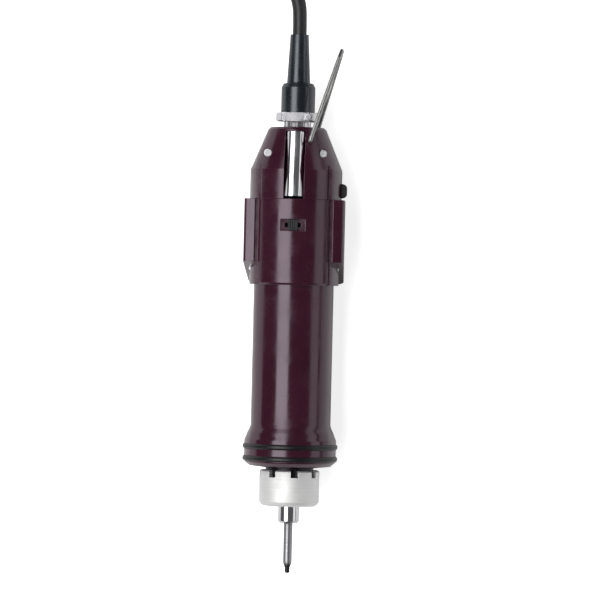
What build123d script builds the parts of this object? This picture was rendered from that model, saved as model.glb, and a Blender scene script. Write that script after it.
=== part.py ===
from build123d import *
from math import acos, cos, pi, radians, sin, sqrt, tan
import os

# Electric torque screwdriver, lying on its back on a bench, in millimetres.
# The tool's axis runs along +Y at axis_height above the bench.
# The bit points to -Y and the start lever faces up.
# A station is a distance along the axis from the tip of the bit.

# Housing
wall = 2.2
grip_radius = 18.25
flange_radius = 21.0
flange_bottom = 48.2
flange_lip = 2.4
ring_wire = 2.3  # width of a rubber ring
ring_stations = (52.45, 57.95)
ring_proud = 0.7
flare_start = 60.9
flare_end = 67.8
collar_bottom = 131.7
collar_top = 170.6
collar_radius = 20.4
ear_half_width = 22.8  # in front
ear_back_half = 21.9
ear_front = 12.8  # height of an ear's front face over the axis
ear_slant = 10.5  # how much higher an ear ends in front than at the back
ear_corner = 4.5
ear_edge = 1.3
ear_rib = 16.9  # where the groove between an ear's two ribs lies
dome_radius = 21.0
shoulder = 184.0
dome_top = 203.5
dome_top_radius = 12.3
dome_edge = 1.0
style_groove = 1.8
dome_groove = 2.6
dome_groove_x = 16.2
dome_groove_top = 186.0

# Fasteners
screw_radius = 1.1
screw_head = 1.8
screw_head_height = 1.5
dome_seat = 10.0  # height of the dome screws' seats over the axis
ear_seat = -12.0
dome_screw_x = 12.6
dome_screw_station = 191.5
ear_screw_x = 19.6
ear_screw_stations = (139.0, 165.0)

# Start lever
lever_width = 8.6
lever_gap = 0.25
lever_sheet = 1.2
lever_flange = 4.4
lever_round = 2.8
lever_low_end = 171.8
lever_low_height = 23.4
lever_high_end = 201.4
lever_high_height = 14.9
lever_pivot_station = 198.3
lever_pivot_height = 10.6
lever_pin_radius = 1.0
running = 0.05

# Switches
window_station = 158.75
window_width = 11.3
window_height = 5.4
window_depth = 1.4
slide_width = 4.4
slide_travel = 1.8
speed_station = 175.0
speed_length = 6.5
speed_proud = 2.3
speed_depth = 4.6
speed_travel = 2.0

# Circuit board on its posts
board_station = 156.0
board_length = 26.0
board_sheet = 1.6
board_seat = -9.6
board_posts = (146.5, 165.5)

# Hanging bail
bail_wire = 1.8
bail_x = 6.6
bail_station = 196.6
bail_tilt = 17.0
bail_length = 44.4
bail_leg = 16.6  # height of a leg's foot over the axis
bail_apex = 3.6

# Cord entry
neck_radius = 6.15
neck_bore = 3.5
finger_gap = 3.0
fingers = 6
flange_disc_radius = 10.0
flange_disc_flat = 7.6
flange_disc_bottom = dome_top + 2.7
flange_disc_top = flange_disc_bottom + 4.1
boot_length = 35.7
boot_base_radius = 7.75
boot_base_top = flange_disc_top + 13.3
boot_foot_radius = 5.3
boot_tip_radius = 4.2
cord_diameter = 6.4

# Nose, torque nut and chuck
nose_radius = 10.9
nose_wall = 1.5
nose_bottom = 36.0
nose_flange = 61.5
nut_radius = 13.7
nut_bottom = 30.8
nut_top = 47.2
nut_notches = 8
nut_notch_width = 3.4
nut_notch_depth = 3.2
nut_corner = 2.0
nut_feed = 3.0
spindle_radius = 3.4
sleeve_radius = 4.8
sleeve_bottom = 23.0
sleeve_top = 35.0
bit_radius = 2.0
bit_shank_radius = 1.6
bit_shank_bottom = 22.8
bit_shank_top = 42.0
bit_ball_station = 28.5
bit_point = 1.1
bit_taper_low = 2.6
bit_taper_high = 5.0

# Gears
module = 0.7
pinion_teeth = 12
annulus_teeth = 36
planets = 3
addendum = 0.8  # in modules
dedendum = 1.1
backlash = 0.10
gear_width = 7.0
gearbox_radius = 15.0
gear_pin = 1.0
stage_two_bottom = 68.6
stage_one_bottom = 80.2

# Motor
can_radius = 14.2
can_wall = 1.2
can_bottom = 91.4
can_top = 139.5
shaft_radius = 1.5
clutch_radius = 9.6
core_radius = 10.4
core_bottom = 102.0
core_top = 126.0
core_slots = 7
commutator_radius = 4.2

# Cord: put away as a hank of laid turns behind the tool
hank_column = 21.3  # radius of the inner turns at a fold
hank_straight = 52.0
hank_layers = 4
hank_near = 268.0
hank_side = 12.0
tie_thickness = 1.0
tie_width = 14.0
plug_radius = 7.6
plug_length = 40.0
plug_boot_length = 14.0

# The rubber rings rest on the bench, and the origin is below the middle of the tool
axis_height = flange_radius + ring_proud
boot_end = flange_disc_top + boot_length
origin_station = boot_end / 2

seam_lean = radians(27)  # turned profiles start this far below the parting plane, clear of every hole
seam_out = (cos(seam_lean), 0, -sin(seam_lean))
tool_plane = Plane((0, -origin_station, axis_height), seam_out, (sin(seam_lean), 0, cos(seam_lean)))
side_plane = Plane((0, -origin_station, axis_height), (0, 1, 0), (1, 0, 0))
tool_axis = Axis((0, -origin_station, axis_height), (0, 1, 0))
pitch_radius = module * pinion_teeth / 2
annulus_pitch = module * annulus_teeth / 2
centre_distance = 2 * pitch_radius
cavity_radius = grip_radius - wall
collar_cavity = collar_radius - wall


def across(station, up=0.0, aside=0.0):
    """A plane square to the axis that faces the bit, with its y up."""
    return Plane((aside, station - origin_station, axis_height + up), (1, 0, 0), (0, -1, 0))


def above(height, station=0.0, aside=0.0):
    """A level plane at a height over the axis, with its origin at a station."""
    return Plane((aside, station - origin_station, axis_height + height), (1, 0, 0), (0, 0, 1))


def turn(*outline, mode=Mode.ADD):
    """Turn an outline of (radius, station) points about the tool's axis."""
    with BuildSketch(tool_plane) as profile:
        with BuildLine():
            Polyline(*outline, close=True)
        make_face()
    revolve(profile.sketch, axis=tool_axis, mode=mode)


def disc(outer, low, high, inner=0.0, mode=Mode.ADD):
    """A washer, tube or rod on the tool's axis."""
    turn((inner, low), (outer, low), (outer, high), (inner, high), mode=mode)


def rod(radius, low, high, angle=0.0, away=0.0, mode=Mode.ADD):
    """A rod parallel to the tool's axis, at a distance and an angle from it."""
    x = away * cos(radians(angle))
    z = away * sin(radians(angle))
    with BuildSketch(across(high, up=z, aside=x)) as section:
        Circle(radius)
    extrude(section.sketch, amount=high - low, mode=mode)


def upright(radius, x, station, low, high, mode=Mode.ADD):
    """A rod that stands square to the bench, between two heights over the axis."""
    with BuildSketch(above(low, station, x)) as section:
        Circle(radius)
    extrude(section.sketch, amount=high - low, mode=mode)


def block(width, depth, height, x, station, low, mode=Mode.ADD):
    """A block centred on x and a station, standing on a height over the axis."""
    with BuildSketch(above(low, station, x)) as section:
        Rectangle(width, depth)
    extrude(section.sketch, amount=height, mode=mode)


def finish(part, name):
    part.label = name
    export_step(part, f"parts/{name}.step")
    print(f"{name}: {len(part.solids())} solids, {part.volume:.1f} mm3")


def involute(angle):
    return tan(angle) - angle


def tooth_angle(teeth, radius, slack):
    """Half the angle that a tooth spans at a radius, for 20 degree involute teeth."""
    pitch = module * teeth / 2
    base = pitch * cos(radians(20))
    flank = involute(acos(min(1.0, base / radius)))
    return pi / (2 * teeth) + involute(radians(20)) - flank - slack / (2 * pitch)


def gear_outline(teeth, root, pitch, tip, slack, turned=0.0):
    """Points of a toothed outline: root, pitch and tip points on both flanks of each tooth."""
    points = []
    for tooth in range(teeth):
        middle = 2 * pi * tooth / teeth + radians(turned)
        flank = [(radius, tooth_angle(teeth, radius, slack)) for radius in (root, pitch, tip)]
        for radius, half in flank:
            points.append((radius * cos(middle - half), radius * sin(middle - half)))
        for radius, half in reversed(flank):
            points.append((radius * cos(middle + half), radius * sin(middle + half)))
    return points


def pinion_outline(turned=0.0):
    root = pitch_radius - dedendum * module
    tip = pitch_radius + addendum * module
    return gear_outline(pinion_teeth, root, pitch_radius, tip, backlash, turned)


def annulus_outline():
    """The outline of the space inside the ring gear, whose teeth point inwards."""
    root = annulus_pitch + dedendum * module
    tip = annulus_pitch - addendum * module
    half = 180 / annulus_teeth
    return gear_outline(annulus_teeth, tip, annulus_pitch, root, -backlash, half)


os.makedirs("parts", exist_ok=True)

# Lower body: grip, flared foot and the collar with its two ears
flare_middle = (flare_start + flare_end) / 2
flare_radius = (flange_radius + grip_radius) / 2
ring_seat = flange_radius - ring_wire / 2

with BuildPart() as body:
    turn(
        (nose_radius + 0.3, flange_bottom),
        (flange_radius - flange_lip, flange_bottom + 0.9),
        (flange_radius - 0.5, flange_bottom + flange_lip),
        (flange_radius, flange_bottom + flange_lip + 0.8),
        (flange_radius, flare_start),
        (flange_radius - 0.7, flare_start + 1.6),
        (flare_radius, flare_middle),
        (grip_radius + 0.4, flare_end - 1.4),
        (grip_radius, flare_end),
        (grip_radius, collar_bottom),
        (collar_radius - 0.6, collar_bottom),
        (collar_radius, collar_bottom + 0.9),
        (collar_radius, collar_top),
        (nose_radius + 0.3, collar_top),
    )
    # The ears are one block across the collar, cut off on a slant below
    with BuildSketch(across(collar_top)) as ears:
        with BuildLine():
            Polyline(
                (-ear_half_width, ear_front),
                (ear_half_width, ear_front),
                (ear_back_half, -axis_height),
                (-ear_back_half, -axis_height),
                close=True,
            )
        make_face()
        fillet(ears.vertices().sort_by(Axis.Y)[-2:], ear_edge)
        fillet(ears.vertices().sort_by(Axis.Y)[:2], ear_corner)
    extrude(ears.sketch, amount=collar_top - collar_bottom)
    with BuildSketch(side_plane) as slant:
        with BuildLine():
            Polyline(
                (collar_bottom - 1, -axis_height - 1),
                (collar_bottom + 0.4, -axis_height - 1),
                (collar_bottom + ear_slant, ear_front + 0.1),
                (collar_bottom - 1, ear_front + 0.1),
                close=True,
            )
        make_face()
    with BuildPart(mode=Mode.PRIVATE) as under_ears:
        extrude(slant.sketch, amount=ear_half_width + 1, both=True)
        disc(collar_radius, collar_bottom - 2, collar_top, mode=Mode.SUBTRACT)
    add(under_ears.part, mode=Mode.SUBTRACT)
    # A groove parts each ear into two ribs
    for side in (-1, 1):
        block(style_groove, 60, 2, side * ear_rib, collar_top - 20, ear_front - 1.2, Mode.SUBTRACT)
    # Cavity, ring seats and the seats for the motor
    disc(nose_radius + 0.15, flange_bottom - 1, collar_top + 1, mode=Mode.SUBTRACT)
    disc(cavity_radius, flange_bottom + 4.2, collar_top + 1, mode=Mode.SUBTRACT)
    disc(collar_cavity, collar_bottom + 2, collar_top + 1, mode=Mode.SUBTRACT)
    for station in ring_stations:
        disc(flange_radius + 2, station - ring_wire / 2, station + ring_wire / 2, ring_seat, Mode.SUBTRACT)
    for station in (can_bottom + 8, can_top - 10):
        disc(cavity_radius + 0.1, station, station + 2, can_radius + 0.05)
    # Posts for the circuit board
    for side in (-1, 1):
        for station in board_posts:
            upright(1.6, side * 9.0, station, -collar_cavity, board_seat)
    # Window of the direction switch, with the slot for its stem
    block(window_width, window_height, 5, 0, window_station, collar_radius - window_depth, Mode.SUBTRACT)
    stem_slot = slide_width - 1.4 + 2 * slide_travel + 0.6
    block(stem_slot, 2.0, 9, 0, window_station, collar_cavity - 5, Mode.SUBTRACT)
    # Screw holes through the ears, with their heads at the back
    for side in (-1, 1):
        for station in ear_screw_stations:
            upright(screw_radius, side * ear_screw_x, station, -axis_height - 1, 5, Mode.SUBTRACT)
            head_hole = screw_head + 0.1
            upright(head_hole, side * ear_screw_x, station, -axis_height - 1, ear_seat, Mode.SUBTRACT)

# Both pairs of shells part at the level of the axis
shell_reach = 3 * ear_half_width
for name, low in (("body_front", 0), ("body_back", -shell_reach)):
    with BuildPart() as shell:
        add(body.part)
        block(2 * shell_reach, 2 * boot_end, shell_reach, 0, origin_station, low, Mode.INTERSECT)
    finish(shell.part, name)

with BuildPart() as rubber_rings:
    for station in ring_stations:
        low = station - ring_wire / 2
        high = station + ring_wire / 2
        turn(
            (ring_seat, low),
            (flange_radius + 0.2, low),
            (axis_height, low + 0.7),
            (axis_height, high - 0.7),
            (flange_radius + 0.2, high),
            (ring_seat, high),
        )
finish(rubber_rings.part, "rubber_rings")

# Dome: the tapered top, with the slot of the start lever
taper_slope = (dome_radius - dome_top_radius - dome_edge) / (dome_top - dome_edge - shoulder)


def dome_outer(station):
    return dome_radius - max(0.0, station - shoulder) * taper_slope


dome_inner_top = dome_top - wall
dome_rim = collar_cavity - 0.1

with BuildPart() as dome:
    turn(
        (0, collar_top),
        (dome_radius, collar_top),
        (dome_radius, shoulder),
        (dome_top_radius + dome_edge, dome_top - dome_edge),
        (dome_top_radius, dome_top),
        (0, dome_top),
    )
    turn(
        (0, collar_top - 1),
        (dome_radius - wall - 0.3, collar_top - 1),
        (dome_radius - wall - 0.3, shoulder),
        (dome_outer(dome_inner_top) - wall - 0.4, dome_inner_top),
        (0, dome_inner_top),
        mode=Mode.SUBTRACT,
    )
    # The rim that locates the dome inside the collar
    disc(dome_rim, collar_top - 3, collar_top, dome_rim - 1.8)
    disc(dome_radius - wall, collar_top, collar_top + 1.2, dome_rim - 1.8)
    # Bosses of the two cover screws, trimmed to the outside of the dome
    with BuildPart(mode=Mode.PRIVATE) as bosses:
        for side in (-1, 1):
            upright(2.5, side * dome_screw_x, dome_screw_station, -9, dome_radius)
        turn(
            (0, dome_screw_station - 4),
            (dome_outer(dome_screw_station - 4), dome_screw_station - 4),
            (dome_outer(dome_screw_station + 4), dome_screw_station + 4),
            (0, dome_screw_station + 4),
            mode=Mode.INTERSECT,
        )
    add(bosses.part)
    for side in (-1, 1):
        upright(screw_radius, side * dome_screw_x, dome_screw_station, -7, dome_radius, Mode.SUBTRACT)
        upright(screw_head + 0.2, side * dome_screw_x, dome_screw_station, dome_seat, dome_radius, Mode.SUBTRACT)
        # Styling groove down each flank, beside the groove in the ear
        groove_floor = sqrt(dome_radius**2 - dome_groove_x**2) - 0.9
        reach = 2 * (dome_groove_top - collar_top)
        block(dome_groove, reach, 8, side * dome_groove_x, collar_top, groove_floor, Mode.SUBTRACT)
    # Slot of the start lever and the seat of its pin
    slot_width = lever_width + 2 * lever_gap
    slot_low = collar_top - 4
    slot_middle = (slot_low + lever_high_end + 0.3) / 2
    slot_length = lever_high_end + 0.3 - slot_low
    block(slot_width, slot_length, 20, 0, slot_middle, 6.0, Mode.SUBTRACT)
    with BuildSketch(Plane.YZ.offset(-7.2)) as pin_seat:
        with Locations((lever_pivot_station - origin_station, axis_height + lever_pivot_height)):
            Circle(lever_pin_radius + 0.02)
    extrude(pin_seat.sketch, amount=14.4, mode=Mode.SUBTRACT)
    # Notch of the speed knob, holes of the bail and the hole for the neck
    notch = speed_length + speed_travel + 0.6
    block(12, notch, speed_depth + 0.6, dome_radius, speed_station, -speed_depth / 2 - 0.3, Mode.SUBTRACT)
    for low, high in ((8, 20), (-20, -8)):
        upright(bail_wire / 2 + running, bail_x, bail_station, low, high, Mode.SUBTRACT)
    disc(neck_radius + 0.05, dome_inner_top - 1, dome_top + 1, mode=Mode.SUBTRACT)

for name, low in (("dome_front", 0), ("dome_back", -shell_reach)):
    with BuildPart() as half:
        add(dome.part)
        block(2 * shell_reach, 2 * boot_end, shell_reach, 0, origin_station, low, Mode.INTERSECT)
    finish(half.part, name)

with BuildPart() as screws:
    for side in (-1, 1):
        upright(screw_radius - 0.05, side * dome_screw_x, dome_screw_station, -6.5, dome_seat)
        head_top = dome_seat + screw_head_height
        upright(screw_head, side * dome_screw_x, dome_screw_station, dome_seat, head_top)
        for station in ear_screw_stations:
            upright(screw_head, side * ear_screw_x, station, ear_seat - screw_head_height, ear_seat)
            upright(screw_radius - 0.05, side * ear_screw_x, station, ear_seat, 4)
finish(screws.part, "screws")

# Start lever: a straight pressed channel, closed at its free end, that turns on a pin at the other
lever_run = lever_high_end - lever_low_end
lever_fall = lever_low_height - lever_high_height
lever_length = sqrt(lever_run**2 + lever_fall**2)
lever_start = (0, lever_low_end - origin_station, axis_height + lever_low_height)
lever_plane = Plane(lever_start, (1, 0, 0), (0, lever_run, -lever_fall))


def lever_face(station):
    return lever_low_height - (station - lever_low_end) * lever_fall / lever_run


def lever_channel(start, inset, mode):
    """Extrude the lever's rounded section, drawn smaller by an inset for the hollow."""
    with BuildSketch(lever_plane.offset(start)) as section:
        with Locations((0, lever_flange / 2 + inset)):
            Rectangle(lever_width - 2 * inset, lever_flange)
        fillet(section.vertices().sort_by(Axis.Y)[:2], lever_round - inset)
    extrude(section.sketch, amount=lever_length - start, mode=mode)


with BuildPart() as start_lever:
    lever_channel(0, 0, Mode.ADD)
    lever_channel(2 * lever_sheet, lever_sheet, Mode.SUBTRACT)
    block(lever_width + 2, 10, 2 * dome_radius, 0, lever_low_end - 5, 0, Mode.SUBTRACT)
    with BuildSketch(side_plane) as ear:
        with Locations((lever_pivot_station, lever_pivot_height)):
            Circle(lever_pin_radius + 1.0)
    for side in (-1, 1):
        cheek = extrude(ear.sketch, amount=side * lever_width / 2, mode=Mode.PRIVATE)
        inner = extrude(ear.sketch, amount=side * (lever_width / 2 - lever_sheet), mode=Mode.PRIVATE)
        add(cheek - inner)
    with BuildSketch(side_plane) as eye:
        with Locations((lever_pivot_station, lever_pivot_height)):
            Circle(lever_pin_radius + running)
    extrude(eye.sketch, amount=lever_width, both=True, mode=Mode.SUBTRACT)
finish(start_lever.part, "start_lever")

with BuildPart() as lever_pin:
    with BuildSketch(Plane.YZ.offset(-7.1)):
        with Locations((lever_pivot_station - origin_station, axis_height + lever_pivot_height)):
            Circle(lever_pin_radius)
    extrude(amount=14.2)
finish(lever_pin.part, "lever_pin")

# Direction slide in the window and its switch below
slide_top = sqrt(collar_radius**2 - (slide_width / 2 + slide_travel) ** 2) - 0.1
window_floor = collar_radius - window_depth

with BuildPart() as direction_slide:
    slide_low = window_floor + 0.1
    block(slide_width, window_height - 0.6, slide_top - slide_low, 0, window_station, slide_low)
    block(slide_width - 1.4, 1.6, window_floor + 0.1 - 15.4, 0, window_station, 15.4)
    for offset in (-0.9, 0, 0.9):
        block(0.35, window_height, 1, offset, window_station, slide_top - 0.3, Mode.SUBTRACT)
finish(direction_slide.part, "direction_slide")

with BuildPart() as direction_switch:
    block(15, 7, 6, 0, window_station, 9.2)
    block(slide_width + 2 * slide_travel - 0.8, 2.4, 1, 0, window_station, 14.2, Mode.SUBTRACT)
    for x in (-5, -1.7, 1.7, 5):
        block(0.8, 0.5, 3, x, window_station, 6.2)
finish(direction_switch.part, "direction_switch")

# Speed knob on the right flank
with BuildPart() as speed_knob:
    with BuildSketch(across(speed_station + speed_length / 2)) as knob:
        with Locations((dome_radius + (speed_proud - 1.2) / 2, 0)):
            Rectangle(speed_proud + 1.2, speed_depth)
    extrude(knob.sketch, amount=speed_length)
    tops = speed_knob.edges().filter_by(Axis.Z).sort_by(Axis.X)[-2:]
    fillet(tops, 0.9 * speed_proud)
    block(2.6, 3, 2.6, dome_radius - 1.9, speed_station, -1.3)
finish(speed_knob.part, "speed_knob")

with BuildPart() as speed_switch:
    block(4, 9.4, 6, 16.0, speed_station + 1.7, -3)
    block(2, 5.4, 3.2, 18.0, speed_station, -1.6, Mode.SUBTRACT)
finish(speed_switch.part, "speed_switch")

# Start switch under the lever's free end, and its board
start_station = lever_low_end + 7.0
plunger_radius = 1.0
plunger_top = lever_face(start_station + plunger_radius) - 1.05 * lever_sheet - 0.05

with BuildPart() as start_switch:
    block(lever_width - 2 * lever_sheet - 0.4, 12.8, 5.8, 0, start_station, 8.4)
    upright(1.05, 0, start_station, 10.2, 15, Mode.SUBTRACT)
    for offset in (-4.5, 0, 4.5):
        block(1.6, 0.5, 3.4, 0, start_station + offset, 5.0)
finish(start_switch.part, "start_switch")

with BuildPart() as switch_plunger:
    upright(plunger_radius, 0, start_station, 12.2, plunger_top)
    upright(1.6, 0, start_station, 16.3, 17.2)
finish(switch_plunger.part, "switch_plunger")

with BuildPart() as circuit_board:
    block(24, board_length, board_sheet, 0, board_station, board_seat)
    block(9, 7, 1.6, -5, board_station - 6, board_seat + board_sheet)
    block(4, 9, 2.4, 7, board_station + 5, board_seat + board_sheet)
    for offset in (-11, -7, -3):
        block(5, 2.2, 2.2, 7.5, board_station + offset, board_seat + board_sheet)
finish(circuit_board.part, "circuit_board")

# Neck collet, clamp flange and boot
with BuildPart() as cord_collet:
    disc(neck_radius, dome_inner_top - 5, flange_disc_bottom, neck_bore)
    disc(neck_radius + 1.6, dome_inner_top - 2.2, dome_inner_top - 0.1, neck_bore)
    for finger in range(fingers):
        angle = 15 + finger * 360 / fingers
        with BuildSketch(across(flange_disc_bottom + 1).rotated((0, angle, 0))) as gap:
            with Locations((neck_radius, 0)):
                Rectangle(2 * (neck_radius - neck_bore) + 1.6, finger_gap)
        extrude(gap.sketch, amount=flange_disc_bottom + 1 - dome_top + 0.2, mode=Mode.SUBTRACT)
finish(cord_collet.part, "cord_collet")

with BuildPart() as clamp_flange:
    with BuildSketch(across(flange_disc_top)) as plate:
        Circle(flange_disc_radius)
        Rectangle(4 * flange_disc_radius, 2 * flange_disc_flat, mode=Mode.INTERSECT)
        Circle(neck_bore, mode=Mode.SUBTRACT)
    extrude(plate.sketch, amount=flange_disc_top - flange_disc_bottom)
    rims = clamp_flange.edges().filter_by(GeomType.CIRCLE).filter_by(lambda e: e.radius > 9)
    fillet(rims, 0.9)
    lug_station = (flange_disc_bottom + flange_disc_top) / 2
    block(3.4, 3.2, 2.2, 5.4, lug_station, flange_disc_flat - 0.4)
    upright(0.9, 5.4, lug_station, 2, 12, Mode.SUBTRACT)
finish(clamp_flange.part, "clamp_flange")

with BuildPart() as clamp_screw:
    upright(0.85, 5.4, lug_station, 2.5, flange_disc_flat + 1.8)
    upright(1.3, 5.4, lug_station, flange_disc_flat + 1.8, flange_disc_flat + 2.8)
finish(clamp_screw.part, "clamp_screw")

with BuildPart() as cord_boot:
    turn(
        (0, flange_disc_top),
        (boot_base_radius, flange_disc_top),
        (boot_base_radius, boot_base_top - 1.8),
        (boot_base_radius - 0.9, boot_base_top),
        (boot_foot_radius, boot_base_top + 0.4),
        (boot_tip_radius, boot_end),
        (0, boot_end),
    )
finish(cord_boot.part, "cord_boot")

# Hanging bail: one bent wire whose feet turn in the dome's front and back
leg_end = bail_length - 3.4
lean_x = sin(radians(bail_tilt))
lean_y = cos(radians(bail_tilt))


def on_bail(along, height):
    y = bail_station - origin_station + along * lean_y
    return (bail_x + along * lean_x, y, axis_height + height)


with BuildPart() as bail:
    with BuildLine() as wire:
        FilletPolyline(
            on_bail(0, 12.8),
            on_bail(0, bail_leg + 0.9),
            on_bail(leg_end, bail_apex + 1.2),
            on_bail(bail_length, bail_apex - 1.4),
            on_bail(bail_length, 1.4 - bail_apex),
            on_bail(leg_end, -bail_apex - 1.2),
            on_bail(0, -bail_leg - 0.9),
            on_bail(0, -12.8),
            radius=1.9,
        )
    with BuildSketch(Plane(wire.line @ 0, z_dir=wire.line % 0)):
        Circle(bail_wire / 2)
    sweep()
finish(bail.part, "bail")

# Nose: the threaded tube, the web and the inner tube that guides the spindle
web_low = 50.5
web_high = flange_bottom + 4.2
guide_bore = spindle_radius + running

with BuildPart() as nose:
    disc(nose_radius, nose_bottom, web_high + 1.2, nose_radius - nose_wall)
    disc(nose_radius, web_low, web_high, guide_bore)
    disc(5.2, nose_bottom + 4, web_high, guide_bore)
    disc(cavity_radius - 0.1, web_high, nose_flange, 11.2)
    disc(11.4, web_high, web_high + 1.2, nose_radius - 0.3)
    for pin in range(3):
        rod(1.05, web_low - 1, web_high + 1, 90 + pin * 120, 7.3, Mode.SUBTRACT)
finish(nose.part, "nose")

with BuildPart() as thrust_spider:
    disc(8.9, web_low - 1.3, web_low - 0.3, 5.5)
    for pin in range(3):
        rod(1.0, web_low - 0.3, 53.2, 90 + pin * 120, 7.3)
finish(thrust_spider.part, "thrust_spider")

with BuildPart() as thrust_washer:
    disc(9.0, 53.2, 54.0, 4.2)
finish(thrust_washer.part, "thrust_washer")

# Torque nut, thrust ring and spring
nut_thread = nose_radius + 0.08
ring_low = nut_bottom + 2.2

with BuildPart() as torque_nut:
    turn(
        (sleeve_radius + 0.5, nut_bottom),
        (nut_radius - nut_corner, nut_bottom),
        (nut_radius - 0.4 * nut_corner, nut_bottom + 0.35 * nut_corner),
        (nut_radius, nut_bottom + nut_corner),
        (nut_radius, nut_top - 0.6),
        (nut_radius - 0.6, nut_top),
        (nut_thread, nut_top),
        (nut_thread, nose_bottom - nut_feed - 0.4 + 3),
        (9.3, nose_bottom - nut_feed - 0.4 + 3),
        (9.3, ring_low),
        (sleeve_radius + 0.5, ring_low),
    )
    for notch_number in range(nut_notches):
        angle = 58 - notch_number * 360 / nut_notches
        with BuildSketch(across(nut_top + 1).rotated((0, angle, 0))) as cut:
            with Locations((nut_radius, 0)):
                Rectangle(8, nut_notch_width)
        extrude(cut.sketch, amount=nut_notch_depth + 1, mode=Mode.SUBTRACT)
finish(torque_nut.part, "torque_nut")

with BuildPart() as thrust_ring:
    disc(9.2, ring_low, ring_low + 1.6, 5.6)
finish(thrust_ring.part, "thrust_ring")

spring_low = ring_low + 1.6
spring_high = web_low - 1.3
spring_wire = 1.3
spring_mean = 7.3
spring_turns = 5

with BuildPart() as torque_spring:
    rise = spring_high - spring_low - spring_wire - 0.1
    foot = (0, spring_low + spring_wire / 2 + 0.05 - origin_station, axis_height)
    with BuildLine() as coil:
        Helix(rise / spring_turns, rise, spring_mean, center=foot, direction=(0, 1, 0))
    with BuildSketch(Plane(coil.line @ 0, (1, 0, 0), coil.line % 0)):
        Rectangle(spring_wire, spring_wire)
    sweep(is_frenet=True)
finish(torque_spring.part, "torque_spring")

# Spindle, clutch and second carrier turn together
driver_low = 58.6
disc_low = 54.2

with BuildPart() as spindle:
    disc(spindle_radius, 24.5, driver_low - 0.2, 0)
    disc(bit_shank_radius + 0.03, 24.0, bit_shank_top + 0.2, mode=Mode.SUBTRACT)
    with BuildSketch(above(-5, bit_ball_station)) as ball_hole:
        Circle(1.0)
    extrude(ball_hole.sketch, amount=10, mode=Mode.SUBTRACT)
finish(spindle.part, "spindle")

with BuildPart() as chuck_balls:
    for side in (-1, 1):
        ball_height = side * (bit_shank_radius + 0.45)
        with Locations((0, bit_ball_station - origin_station, axis_height + ball_height)):
            Sphere(0.9)
finish(chuck_balls.part, "chuck_balls")

with BuildPart() as clutch_disc:
    disc(clutch_radius, disc_low, disc_low + 2.8, spindle_radius)
finish(clutch_disc.part, "clutch_disc")

with BuildPart() as clutch_balls:
    for ball in range(6):
        angle = radians(ball * 60)
        with Locations((7 * cos(angle), 57.8 - origin_station, axis_height + 7 * sin(angle))):
            Sphere(0.8)
finish(clutch_balls.part, "clutch_balls")

with BuildPart() as carrier_two:
    disc(clutch_radius, driver_low, nose_flange - 0.6)
    disc(4.0, nose_flange - 0.6, stage_two_bottom - 3.6)
    disc(11.4, stage_two_bottom - 3.6, stage_two_bottom - 0.4)
    for planet in range(planets):
        turned = planet * 360 / planets
        rod(gear_pin, stage_two_bottom - 0.4, stage_two_bottom + gear_width, turned, centre_distance)
finish(carrier_two.part, "carrier_two")

with BuildPart() as driver_bit:
    disc(bit_radius, bit_taper_high, bit_shank_bottom)
    disc(bit_shank_radius, bit_shank_bottom, bit_shank_top)
    turn(
        (0, 0),
        (bit_point, 0.4),
        (bit_point, bit_taper_low),
        (bit_radius, bit_taper_high),
        (0, bit_taper_high),
    )
    groove = bit_shank_radius - 0.45
    disc(bit_radius, bit_ball_station - 1.1, bit_ball_station + 1.1, groove, Mode.SUBTRACT)
    with BuildSketch(across(0.7 * bit_taper_high)) as blades:
        for angle in (45, 135, 225, 315):
            with Locations((1.15 * cos(radians(angle)), 1.15 * sin(radians(angle)))):
                Rectangle(1.0, 1.0, rotation=0)
    extrude(blades.sketch, amount=5, mode=Mode.SUBTRACT)
finish(driver_bit.part, "driver_bit")

with BuildPart() as chuck_sleeve:
    turn(
        (spindle_radius + running, sleeve_bottom + 0.5),
        (spindle_radius + running + 0.4, sleeve_bottom),
        (sleeve_radius - 0.7, sleeve_bottom),
        (sleeve_radius, sleeve_bottom + 0.9),
        (sleeve_radius, sleeve_top),
        (spindle_radius + running, sleeve_top),
    )
finish(chuck_sleeve.part, "chuck_sleeve")


def planet_gear(bottom, angle):
    """One planet, cut so that a space faces the sun and the other faces the ring gear."""
    x = centre_distance * cos(radians(angle))
    z = centre_distance * sin(radians(angle))
    with BuildPart() as gear:
        with BuildSketch(across(bottom + gear_width, z, x)) as section:
            Polygon(*pinion_outline(angle + 180 / pinion_teeth), align=None)
            Circle(gear_pin + running, mode=Mode.SUBTRACT)
        extrude(section.sketch, amount=gear_width - 0.2)
    return gear.part


stages = {"one": stage_one_bottom, "two": stage_two_bottom}
for stage, bottom in stages.items():
    for planet in range(planets):
        finish(planet_gear(bottom, planet * 360 / planets), f"planet_{stage}_{planet + 1}")

with BuildPart() as carrier_one:
    disc(11.4, stage_one_bottom - 3.6, stage_one_bottom - 0.4)
    for planet in range(planets):
        turned = planet * 360 / planets
        rod(gear_pin, stage_one_bottom - 0.4, stage_one_bottom + gear_width, turned, centre_distance)
    with BuildSketch(across(stage_one_bottom - 3.6)) as sun:
        Polygon(*pinion_outline(), align=None)
    extrude(sun.sketch, amount=stage_one_bottom - 3.6 - stage_two_bottom)
finish(carrier_one.part, "carrier_one")

with BuildPart() as ring_gear:
    disc(gearbox_radius, nose_flange, can_bottom)
    disc(7.05, nose_flange - 1, stage_two_bottom, mode=Mode.SUBTRACT)
    disc(annulus_pitch - addendum * module, stage_two_bottom - 4.0, can_bottom + 1, mode=Mode.SUBTRACT)
    with BuildSketch(across(can_bottom + 1)) as teeth:
        Polygon(*annulus_outline(), align=None)
    extrude(teeth.sketch, amount=can_bottom + 1 - stage_two_bottom + 0.3, mode=Mode.SUBTRACT)
finish(ring_gear.part, "ring_gear")


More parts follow.
